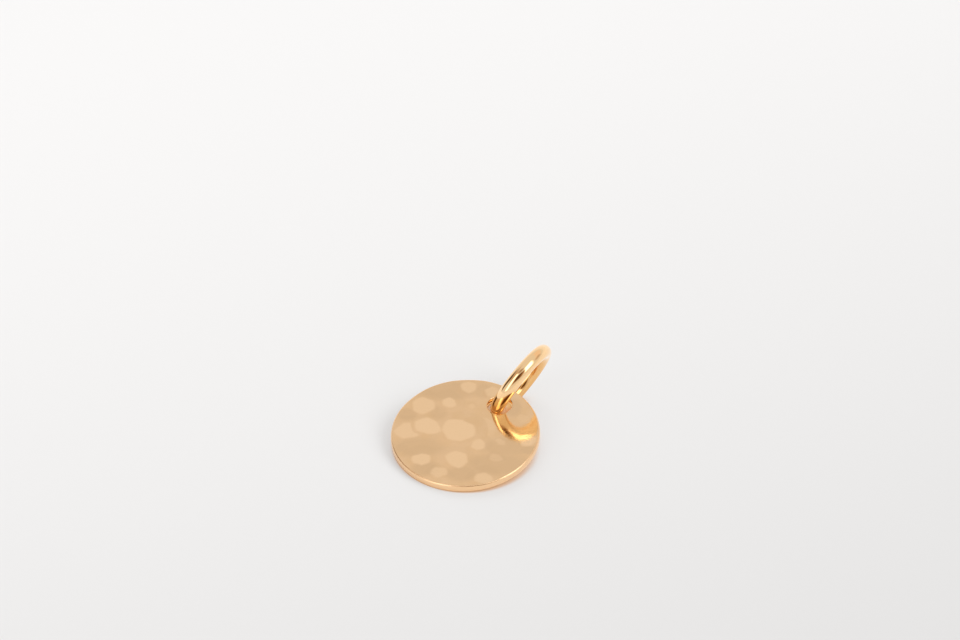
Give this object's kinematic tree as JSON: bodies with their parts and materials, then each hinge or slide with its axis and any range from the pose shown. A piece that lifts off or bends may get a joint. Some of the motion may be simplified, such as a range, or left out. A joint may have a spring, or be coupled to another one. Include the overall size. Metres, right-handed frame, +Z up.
{
  "type": "hammered disc charm",
  "caption": "Thin round disc with a hammered face, drilled near its edge and hung from a closed wire jump ring that passes through the hole.",
  "frame": {"origin": "on the surface that the charm lies on, under the middle of its outline seen from above", "axes": "+Z up; +Y level, from the disc's middle towards its hole; +X to the right of that, seen from above"},
  "size_m": [0.0096, 0.0124, 0.0053],
  "materials": {
    "hammered_gold": "light gold plate, hammered by hand and softly polished",
    "polished_gold": "gold plate, mirror polished round wire"
  },
  "bodies": {
    "root": {"disc": "hammered_gold", "jump_ring": "polished_gold"}
  },
  "joints": []
}
